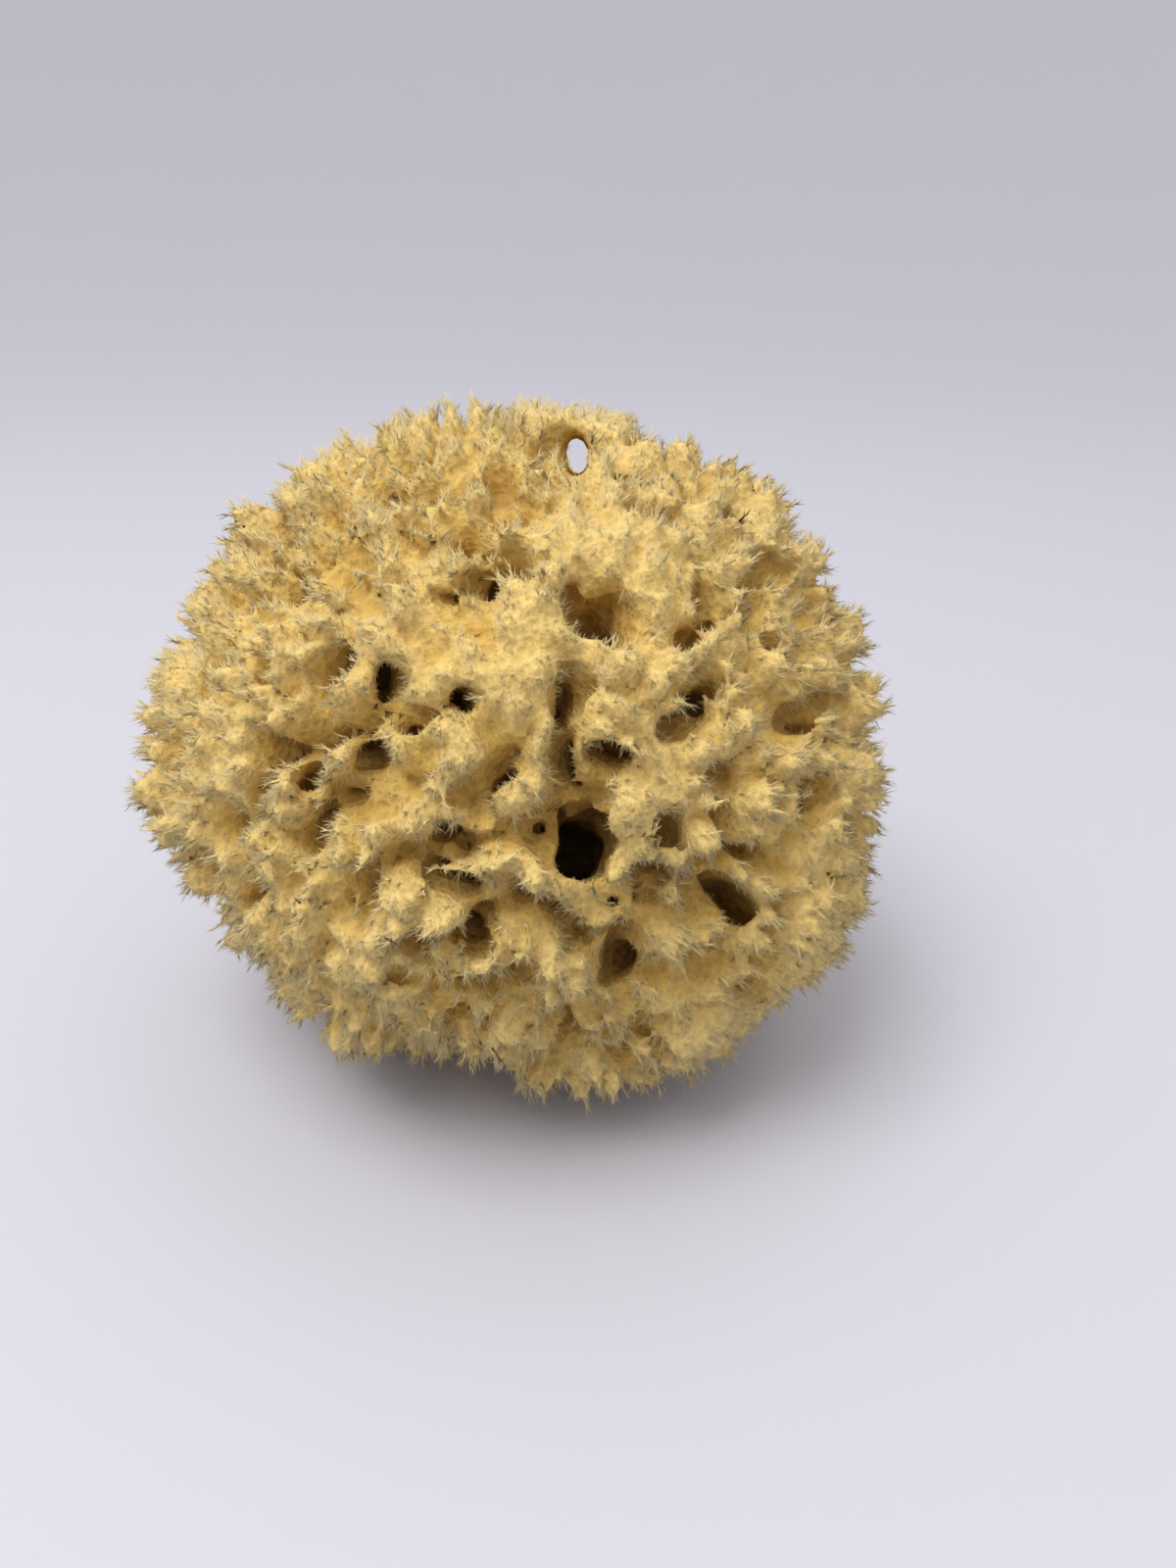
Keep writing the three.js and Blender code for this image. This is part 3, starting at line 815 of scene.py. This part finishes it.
def spikes(roots, ways, lengths, bases, bends, sides, shares, flatness=1.0):
    """Closed curved spikes. Each centre line is root + length (share way + share squared bend), and rings
    stand on it at the shares given, as wide as the base times (1 - share) to the power of the taper, with a
    point at the end. Returns the points, the triangles, each point's share and the way it faces."""
    count = len(roots)
    helper = np.where(np.abs(ways[:, 2:]) < 0.8, [[0.0, 0, 1]], [[1.0, 0, 0]])
    across = unit(np.cross(ways, helper))
    along = np.cross(ways, across)
    spin = rng.random(count)[:, None] * 2 * np.pi
    wide = across * np.cos(spin) + along * np.sin(spin)
    thin = along * np.cos(spin) - across * np.sin(spin)
    turn = np.arange(sides)[:, None] * 2 * np.pi / sides
    rim = wide[:, None] * np.cos(turn) * flatness + thin[:, None] * np.sin(turn) / flatness
    rows, facing = [], []
    for share in [*shares, 1.0]:
        line = roots + lengths[:, None] * (share * ways + share ** 2 * bends)
        if share == 1.0:
            rows.append(line[:, None])
            facing.append(ways[:, None])
        else:
            rows.append(line[:, None] + rim * (bases * (1 - share) ** TAPER)[:, None, None])
            facing.append(rim)
    points, facing = np.concatenate(rows, 1), np.concatenate(facing, 1)
    corners = []
    near, after = np.arange(sides), (np.arange(sides) + 1) % sides
    for ring in range(len(shares) - 1):
        low, high = ring * sides, (ring + 1) * sides
        corners += [np.stack([low + near, low + after, high + after], -1)]
        corners += [np.stack([low + near, high + after, high + near], -1)]
    last, tip = (len(shares) - 1) * sides, len(shares) * sides
    corners += [np.stack([last + near, last + after, np.full(sides, tip)], -1)]
    corners += [np.stack([np.zeros(sides - 2, int), np.arange(2, sides), np.arange(1, sides - 1)], -1)]
    corners = np.concatenate(corners)
    triangles = corners[None] + np.arange(count)[:, None, None] * points.shape[1]
    share_of = np.concatenate([np.repeat(shares, sides), [1.0]])
    return points.reshape(-1, 3), triangles.reshape(-1, 3), np.tile(share_of, count), facing.reshape(-1, 3)


def fibre_piece(name, made, shade, ground):
    """A piece of spikes, whose UV map holds the share run along the fibre and the fibre's own shade. Light
    goes through such thin fibres, so each is shaded partly by its own form and partly as the ground it grows
    on."""
    points, triangles, share, facing = made
    piece = mesh_piece(name, points * MM + BALL_CENTRE, triangles, fibre_material)
    each = len(share) // len(shade)
    uv = UV_MARGIN + (1 - 2 * UV_MARGIN) * np.stack([share, np.repeat(np.clip(shade, 0, 1), each)], -1)
    layer = piece.data.uv_layers.new(name="OFBake")
    layer.data.foreach_set("uv", uv[triangles.ravel()].astype(np.float32).ravel())
    soft = unit(SOFTNESS * np.repeat(ground, each, axis=0) + (1 - SOFTNESS) * facing)
    piece.data.normals_split_custom_set_from_vertices(soft)
    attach(piece, "root")


def sample_skin(count, weight):
    """Random places on the skin's triangles, chosen by area times the weight at their points. Returns the
    triangle numbers and the corners' shares."""
    a, b, c = (skin[skin_triangles[:, k]] for k in range(3))
    area = np.linalg.norm(np.cross(b - a, c - a), axis=1) * weight[skin_triangles].mean(1)
    steps = np.cumsum(area)
    chosen = np.searchsorted(steps, rng.random(count) * steps[-1])
    one, two = rng.random((2, count))
    fold = one + two > 1
    one, two = np.where(fold, 1 - one, one), np.where(fold, 1 - two, two)
    return np.minimum(chosen, len(area) - 1), np.stack([1 - one - two, one, two], -1)


def on_skin(values, chosen, shares):
    corners = values[skin_triangles[chosen]]
    return (corners * (shares[..., None] if corners.ndim == 3 else shares)).sum(1)


def lean(points, normals, outwards, upright, wander):
    """Where a fibre points: outwards and along the normal, turned by two sizes of smooth chance and a little
    chance of its own."""
    drift = np.stack([cloud(points.astype(np.float32), DRIFT[0], seed) for seed in (31, 32, 33)], -1)
    fine = np.stack([cloud(points.astype(np.float32), FINE_DRIFT[0], seed) for seed in (34, 35, 36)], -1)
    own = rng.normal(size=points.shape)
    straight = outwards * upright + normals * (1 - upright)
    return unit(straight + DRIFT[1] * drift + FINE_DRIFT[1] * fine + wander * own)


def over_table(roots, ways, lengths):
    """The lengths, cut short where a fibre that points down would go through the table."""
    room = (roots[:, 2] + CUT_DEPTH - TABLE_GAP) / np.maximum(1e-3, -ways[:, 2])
    return np.where(ways[:, 2] < 0, np.minimum(lengths, np.maximum(0.2, room)), lengths)


def local_shade(points, ways):
    """0 for the most yellow fibres, near the top, to 1 for the palest, low on the sides."""
    patches = SHADE_PATCHES[1] * cloud(points.astype(np.float32), SHADE_PATCHES[0], 40)
    own = SHADE_OWN * rng.normal(size=len(points))
    return SHADE_MIDDLE - SHADE_WITH_HEIGHT * ways[:, 2] + patches + own


beside_window = skin - WINDOW_MIDDLE
window_share = np.hypot(beside_window[:, 0] / WINDOW_SIZE[0], beside_window @ tall / WINDOW_SIZE[1])
facing_out = (skin_normals * skin_ways).sum(1)
outside = (under < OUTSIDE_UNDER) & (facing_out > OUTSIDE_FACING)
outside &= (skin[:, 2] > ABOVE_CUT - CUT_DEPTH) & (window_share > WINDOW_CLEAR)
takes_tuft = outside & (crest > TUFT_CREST) & (under < TUFT_UNDER)
rank = np.where(takes_tuft, crest + TUFT_RANK_CHANCE * rng.random(len(skin)), -1)
cell = np.floor(skin / TUFT_SPACING).astype(int)
order = np.lexsort((-rank, cell[:, 2], cell[:, 1], cell[:, 0]))
first = np.ones(len(order), bool)
first[1:] = (np.diff(cell[order], axis=0) != 0).any(1)
chosen = order[first]
chosen = chosen[np.argsort(-rank[chosen])]
chosen = chosen[:min(TUFT_COUNT, (rank[chosen] > 0).sum())]

tuft_roots, tuft_out = skin[chosen], skin_ways[chosen]
tuft_ways = lean(tuft_roots, skin_normals[chosen], tuft_out, *TUFT_LEAN)
tuft_room = (under[chosen] + TIP_OVER_BALL) / np.maximum(0.4, (tuft_ways * tuft_out).sum(1))
tuft_high = np.minimum(between(TUFT_HEIGHT, rng.random(len(chosen)) ** 1.3), np.maximum(1.2, tuft_room))
tuft_high = over_table(tuft_roots, unit(tuft_ways - [[0, 0, 0.3]]), tuft_high)
tuft_base = between(TUFT_BASE, rng.random(len(chosen))) * np.minimum(1, tuft_high / 2.5)
tuft_bend = TUFT_BEND * unit(np.cross(tuft_ways, rng.normal(size=tuft_ways.shape)))
tuft_shade = local_shade(tuft_roots, tuft_out)
sunk = tuft_roots - TUFT_SINK * tuft_ways

fibre_material, fibre_shader, fibre_wire = new_material("sponge_hair")
uv = fibre_wire.node("ShaderNodeUVMap", {"uv_map": "OFBake"})
split = fibre_wire.node("ShaderNodeSeparateXYZ", None, Vector=fibre_wire.out(uv, "UV"))
along_fibre = fibre_wire.out(split, "X")
shade_wire = fibre_wire.out(split, "Y")
warm = along_fibre.ramp((0.0, (0.70, 0.50, 0.165)), (0.55, (0.79, 0.60, 0.24)), (1.0, (0.86, 0.68, 0.275)))
pale = along_fibre.ramp((0.0, (0.68, 0.49, 0.19)), (0.55, (0.77, 0.595, 0.27)), (1.0, (0.85, 0.685, 0.30)))
fibre_colour = shade_wire.mix(warm, pale)
fibre_wire.tree.links.new(fibre_colour.socket, fibre_shader.inputs["Base Color"])
fibre_shader.inputs["Roughness"].default_value = FIBRE_ROUGHNESS
fibre_shader.inputs["Specular IOR Level"].default_value = FIBRE_SHINE
for shader, share in ((fibre_shader, LIGHT_THROUGH_FIBRE), (sponge_shader, LIGHT_THROUGH_SKIN)):
    shader.inputs["Subsurface Weight"].default_value = share
    shader.inputs["Subsurface Radius"].default_value = LIGHT_REACH
    shader.inputs["Subsurface Scale"].default_value = LIGHT_DEPTH

made = spikes(sunk, tuft_ways, tuft_high + TUFT_SINK, tuft_base, tuft_bend, 4, TUFT_RINGS, TUFT_FLATNESS)
fibre_piece("tufts", made, tuft_shade - TUFT_DARKER, skin_normals[chosen])


def hairs_of_tufts(each):
    """Roots, ways and lengths of hairs that split off the sides of the tufts, so many on each, with the
    number of the tuft that each grows from. They stop a little over the tips of the tufts."""
    owner = np.repeat(np.arange(len(chosen)), each)
    share = between((0.1, 0.95), rng.random(len(owner)))
    side = unit(np.cross(tuft_ways[owner], rng.normal(size=(len(owner), 3))))
    whole = (tuft_high + TUFT_SINK)[owner][:, None]
    line = sunk[owner] + whole * (share[:, None] * tuft_ways[owner] + share[:, None] ** 2 * tuft_bend[owner])
    roots = line + side * (tuft_base[owner] * (1 - share) ** TAPER * 0.8)[:, None]
    ways = unit(tuft_ways[owner] + side * between(HAIR_SPLAY, rng.random(len(owner)))[:, None])
    room = ball_radius(unit(roots)) + TIP_OVER_BALL + HAIR_OVER_TUFT - np.linalg.norm(roots, axis=1)
    lengths = np.clip(between(HAIR_LENGTH, rng.random(len(owner))), 0.5, np.maximum(0.7, room))
    return roots, ways, over_table(roots, ways, lengths), owner


def hairs_of_skin(count, weight, upright, wander, low_high):
    """Roots, ways, lengths and ground of hairs that stand straight on the skin."""
    found, corners = sample_skin(count, weight)
    roots, normals = on_skin(skin, found, corners), unit(on_skin(skin_normals, found, corners))
    ways = lean(roots, normals, unit(roots), upright, wander)
    room = ball_radius(unit(roots)) + TIP_OVER_BALL - np.linalg.norm(roots, axis=1)
    lengths = np.clip(between(low_high, rng.random(count)), 0.3, np.maximum(0.5, room))
    return roots - 0.2 * normals, ways, over_table(roots, ways, lengths), normals


def lay_hairs(name, base, *groups):
    """Pieces of straight hairs, from groups of roots, ways, lengths and ground."""
    roots, ways, lengths, ground = (np.concatenate(rows) for rows in zip(*groups))
    bases = base * between(THINNEST_TO_THICKEST, rng.random(len(roots)))
    shade = local_shade(roots, unit(roots))
    ordered = np.argsort(roots[:, 0], kind="stable")
    ordered = ordered[roots[ordered, 2] > HAIR_ABOVE_CUT - CUT_DEPTH]
    for number, part in enumerate(np.array_split(ordered, -(-len(ordered) // HAIRS_IN_PIECE))):
        made = spikes(roots[part], ways[part], lengths[part], bases[part], 0 * ways[part], 3, [0])
        fibre_piece(f"{name}_{number}", made, shade[part], ground[part])


crested = np.where(outside, np.clip(crest + LOOSE_OFF_CREST, 0, MOST_WEIGHT), 0)
takes_felt = (under < FELT_UNDER) & (window_share > WINDOW_CLEAR)
felted = np.where(takes_felt, np.clip(crest + FELT_OFF_CREST, LEAST_FELT, MOST_WEIGHT), 0)
felted = np.where(takes_felt & (window_share < WINDOW_RIM), RIM_FELT, felted)
split_off = hairs_of_tufts(HAIRS_ON_TUFT)
loose = hairs_of_skin(LOOSE_HAIRS, crested, *LOOSE_LEAN, LOOSE_LENGTH)
felt = hairs_of_skin(FELT_COUNT, felted, *FELT_LEAN, FELT_LENGTH)
lay_hairs("hairs", HAIR_BASE, (*split_off[:3], skin_normals[chosen][split_off[3]]), loose)
lay_hairs("felt", FELT_BASE, felt)

# The splinters
# A few dark slivers that lie across the tufts low on the front. Each is a bearing, a lift and a length.
SPLINTERS = [(-19, 1, 3.0), (-18, -2, 2.4), (-24, 5, 1.8)]
SPLINTER_BASE = 0.22
SPLINTER_COLOUR = (0.07, 0.04, 0.02)
splinter_material, splinter_shader, _ = new_material("splinter")
splinter_shader.inputs["Base Color"].default_value = (*SPLINTER_COLOUR, 1)
splinter_shader.inputs["Roughness"].default_value = 0.7
caught = np.array([np.argmax(skin_ways @ towards(*row[:2]) * 200 + skin_reach) for row in SPLINTERS])
level_ways = np.cross(skin_ways[caught], rng.normal(size=(len(caught), 3)))
splinter_ways = unit(level_ways + 0.25 * skin_ways[caught])
splinter_long = np.array([row[2] for row in SPLINTERS])
splinter_roots = skin[caught] + 0.6 * skin_ways[caught] - 0.4 * splinter_long[:, None] * splinter_ways
splinter_wide = np.full(len(caught), SPLINTER_BASE)
made = spikes(splinter_roots, splinter_ways, splinter_long, splinter_wide, 0 * splinter_ways, 5, [0, 0.6])
splinters = mesh_piece("splinters", made[0] * MM + BALL_CENTRE, made[1], splinter_material)
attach(splinters, "root")
